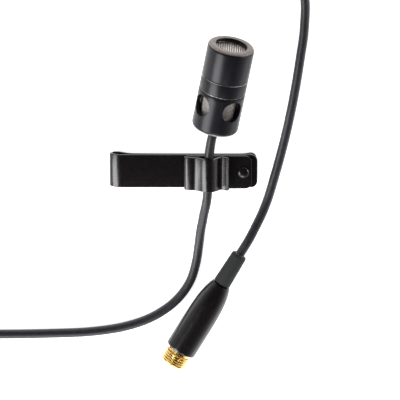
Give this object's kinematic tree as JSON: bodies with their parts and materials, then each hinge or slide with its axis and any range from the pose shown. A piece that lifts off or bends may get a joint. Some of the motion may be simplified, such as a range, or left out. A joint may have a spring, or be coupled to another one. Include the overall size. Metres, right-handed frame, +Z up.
{
  "type": "lavalier microphone",
  "caption": "Clip-on lavalier microphone: ported cylindrical head on a thin cable, sprung tie clip with a cable holder, coiled cable and a threaded plug.",
  "frame": {"origin": "on the surface that the microphone lies on, under the middle of the box round the head and clip", "axes": "+Y from the clip towards the head's front ring, +X along the clip's leaf from its fold to its open end, +Z up from the surface"},
  "size_m": [0.1253, 0.1103, 0.0149],
  "materials": {
    "anodised": "satin",
    "gloss_black": "gloss",
    "cable": "satin",
    "soft_black": "matte",
    "gold": "polished",
    "steel_mesh": "woven wire",
    "felt": "felt",
    "can_metal": "satin",
    "film": "polished",
    "board": "matte",
    "insulator": "satin",
    "lead_red": "satin",
    "lead_white": "satin",
    "lead_bare": "braided copper"
  },
  "bodies": {
    "rear_leaf": {"rear_leaf": "gloss_black", "cable_clip_run": "cable", "cable_coil": "cable", "cable_plug_run": "cable", "coil_tie_right": "soft_black", "coil_tie_left": "soft_black", "plug_strain_relief": "soft_black", "plug_barrel": "gloss_black", "plug_threaded_shell": "gold", "plug_insulator": "insulator", "plug_pin_1": "gold", "plug_pin_2": "gold", "plug_pin_3": "gold", "plug_cable_end": "cable", "plug_cable_clamp": "can_metal", "plug_lead_1": "lead_red", "plug_lead_2": "lead_white", "plug_lead_3": "lead_bare"},
    "front_clip": {"front_leaf": "gloss_black", "holder_base": "gloss_black", "holder_rivet": "gloss_black"},
    "cable_spring": {"holder_spring": "gloss_black"},
    "mic_cable": {"head_cable": "cable", "cable_ferrule": "can_metal"},
    "mic_head": {"front_cap": "anodised", "front_grille": "steel_mesh", "front_felt": "felt", "capsule_can": "can_metal", "capsule_diaphragm": "film", "capsule_backplate": "can_metal", "capsule_spacer": "insulator", "capsule_board": "board", "capsule_gasket": "soft_black", "capsule_lead_1": "lead_red", "capsule_lead_2": "lead_white", "capsule_lead_3": "lead_bare", "coupling_ring": "anodised", "rear_shell": "anodised", "port_screen": "steel_mesh", "cable_bushing": "soft_black"}
  },
  "joints": [
    {"name": "jaw_open", "type": "hinge", "parent": "rear_leaf", "child": "front_clip", "pos_m": [-0.0177, -0.0166, 0.00135], "axis": [0, -1, 0], "range_deg": [0, 12], "stiffness_Nm_per_rad": 0.15, "springref_deg": -17.19},
    {"name": "lip_flex", "type": "hinge", "parent": "front_clip", "child": "cable_spring", "pos_m": [0.00115, -0.0166, 0.00468], "axis": [0, -1, 0], "range_deg": [0, 12], "stiffness_Nm_per_rad": 0.05, "springref_deg": -11.46},
    {"name": "mic_slide", "type": "slide", "parent": "front_clip", "child": "mic_cable", "axis": [0.08, 0.9968, 0], "range_m": [-0.003, 0.004]},
    {"name": "mic_turn", "type": "hinge", "parent": "mic_cable", "child": "mic_head", "pos_m": [0.00796, -0.0042, 0.0058], "axis": [0.1822, 0.9734, 0.1392], "range_deg": [-180, 180]}
  ]
}
